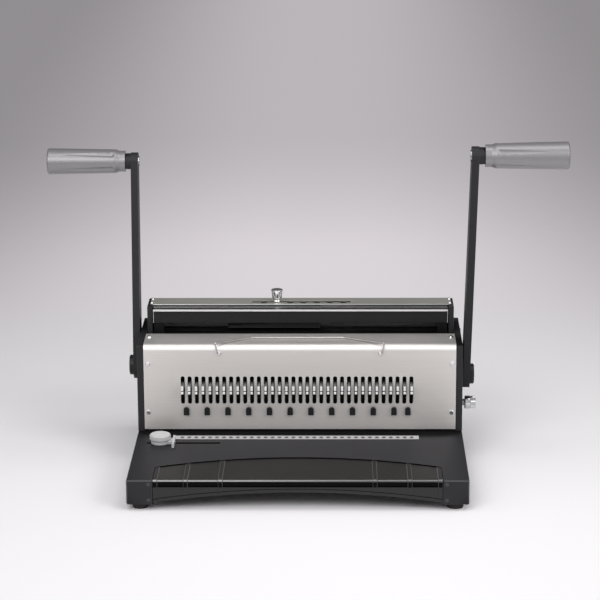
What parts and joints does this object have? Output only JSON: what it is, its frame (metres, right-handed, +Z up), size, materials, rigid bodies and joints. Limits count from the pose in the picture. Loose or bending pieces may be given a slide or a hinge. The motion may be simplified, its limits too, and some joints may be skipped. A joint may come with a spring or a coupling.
{
  "type": "wire binding machine",
  "caption": "Manual twin-lever wire binding machine: one lever punches a row of square holes through a paper stack, the other closes a wire comb; slide-out chip drawer in the base.",
  "frame": {"origin": "on the floor under the middle of the base", "axes": "+X to the operator's right along the hole row, +Y from the operator to the back, +Z up"},
  "size_m": [0.6256, 0.32, 0.4172],
  "materials": {
    "black_powder_coat": "satin powder coat",
    "gloss_black_moulding": "gloss",
    "brushed_stainless": "brushed along the length",
    "chrome": "polished",
    "zinc_steel": "zinc plated",
    "machined_steel": "ground",
    "bearing_bronze": "machined",
    "rubber": "matt",
    "grip_plastic": "satin silver-grey",
    "knob_plastic": "satin light grey",
    "scale_strip": "printed white",
    "blackened_steel": "semi-gloss black",
    "tray_plastic": "matt"
  },
  "bodies": {
    "frame": {"base_shell": "black_powder_coat", "base_plate": "black_powder_coat", "rubber_feet": "rubber", "corner_screws": "blackened_steel", "drawer_runners": "zinc_steel", "ruler_strip": "scale_strip", "side_frame_left": "black_powder_coat", "side_frame_right": "black_powder_coat", "frame_bolts": "zinc_steel", "tie_bars": "machined_steel", "tie_screws": "blackened_steel", "front_panel": "brushed_stainless", "panel_screws": "chrome", "wire_hooks": "blackened_steel", "bail_clips": "zinc_steel", "ram_guides": "machined_steel", "die_plate": "machined_steel", "throat_spacers": "machined_steel", "punch_guide": "machined_steel", "die_bolts": "zinc_steel", "punch_bushes": "bearing_bronze", "closing_bushes": "bearing_bronze", "anvil": "blackened_steel", "bracket_left": "black_powder_coat", "bracket_right": "black_powder_coat", "closer_cover": "brushed_stainless", "cover_screws": "chrome", "rear_cover": "black_powder_coat"},
    "drawer": {"drawer_front": "gloss_black_moulding", "chip_tray": "tray_plastic"},
    "margin_guide": {"margin_fence": "zinc_steel", "margin_stud": "zinc_steel"},
    "margin_knob": {"margin_knob": "knob_plastic"},
    "bail": {"wire_bail": "chrome"},
    "ram": {"punches": "machined_steel", "punch_ram": "machined_steel", "pull_pins": "chrome", "ram_racks": "machined_steel"},
    "punch_lever": {"punch_shaft": "machined_steel", "punch_pinions": "machined_steel", "punch_lever": "black_powder_coat", "punch_hub_cap": "blackened_steel", "punch_grip_axle": "zinc_steel"},
    "punch_grip": {"punch_grip": "grip_plastic"},
    "closing_lever": {"closing_shaft": "machined_steel", "closing_pinions": "machined_steel", "closing_lever": "black_powder_coat", "closing_hub_cap": "blackened_steel", "closing_grip_axle": "zinc_steel"},
    "closing_grip": {"closing_grip": "grip_plastic"},
    "press": {"press_bar": "blackened_steel", "press_plate": "chrome", "press_racks": "machined_steel"},
    "selector": {"selector_knob": "chrome", "stop_slide": "machined_steel"},
    "depth_knob": {"depth_knob": "chrome", "depth_spindle": "machined_steel", "depth_pinions": "machined_steel"},
    "depth_stop": {"depth_stop": "machined_steel"}
  },
  "joints": [
    {"name": "punch_lever_turn", "type": "hinge", "parent": "frame", "child": "punch_lever", "pos_m": [0, 0.0706, 0.097], "axis": [1, 0, 0], "range_deg": [-30, 55]},
    {"name": "ram_slide", "type": "slide", "parent": "frame", "child": "ram", "axis": [0, 0, -1], "range_m": [-0.0064, 0.0116]},
    {"name": "punch_grip_spin", "type": "hinge", "parent": "punch_lever", "child": "punch_grip", "pos_m": [0.26, -0.07333, 0.40149], "axis": [1, 0, 0], "continuous": true},
    {"name": "closing_lever_turn", "type": "hinge", "parent": "frame", "child": "closing_lever", "pos_m": [0, 0.11, 0.097], "axis": [1, 0, 0], "range_deg": [0, 80]},
    {"name": "press_slide", "type": "slide", "parent": "frame", "child": "press", "axis": [0, 0, -1], "range_m": [0, 0.0112]},
    {"name": "closing_grip_spin", "type": "hinge", "parent": "closing_lever", "child": "closing_grip", "pos_m": [-0.26, 0.13285, 0.35298], "axis": [1, 0, 0], "continuous": true},
    {"name": "selector_slide", "type": "slide", "parent": "frame", "child": "selector", "axis": [1, 0, 0], "range_m": [-0.0165, 0.0825]},
    {"name": "margin_guide_slide", "type": "slide", "parent": "frame", "child": "margin_guide", "axis": [1, 0, 0], "range_m": [-0.013, 0.068]},
    {"name": "margin_knob_turn", "type": "hinge", "parent": "margin_guide", "child": "margin_knob", "pos_m": [-0.1684, -0.023, 0.0455], "axis": [0, 0, 1], "range_deg": [-180, 180]},
    {"name": "depth_knob_turn", "type": "hinge", "parent": "frame", "child": "depth_knob", "pos_m": [0, 0.068, 0.0608], "axis": [1, 0, 0], "range_deg": [-42, 42]},
    {"name": "depth_stop_slide", "type": "slide", "parent": "frame", "child": "depth_stop", "axis": [0, 1, 0], "range_m": [-0.0043, 0.0043]},
    {"name": "bail_turn", "type": "hinge", "parent": "frame", "child": "bail", "pos_m": [0, 0.0216, 0.1377], "axis": [1, 0, 0], "range_deg": [0, 180]},
    {"name": "drawer_slide", "type": "slide", "parent": "frame", "child": "drawer", "axis": [0, -1, 0], "range_m": [0, 0.13]}
  ],
  "couplings": [
    {"joint": "ram_slide", "follows": "punch_lever_turn", "m_per_rad": 0.012},
    {"joint": "press_slide", "follows": "closing_lever_turn", "m_per_rad": 0.008},
    {"joint": "depth_knob_turn", "follows": "depth_stop_slide", "rad_per_m": 166.67}
  ]
}
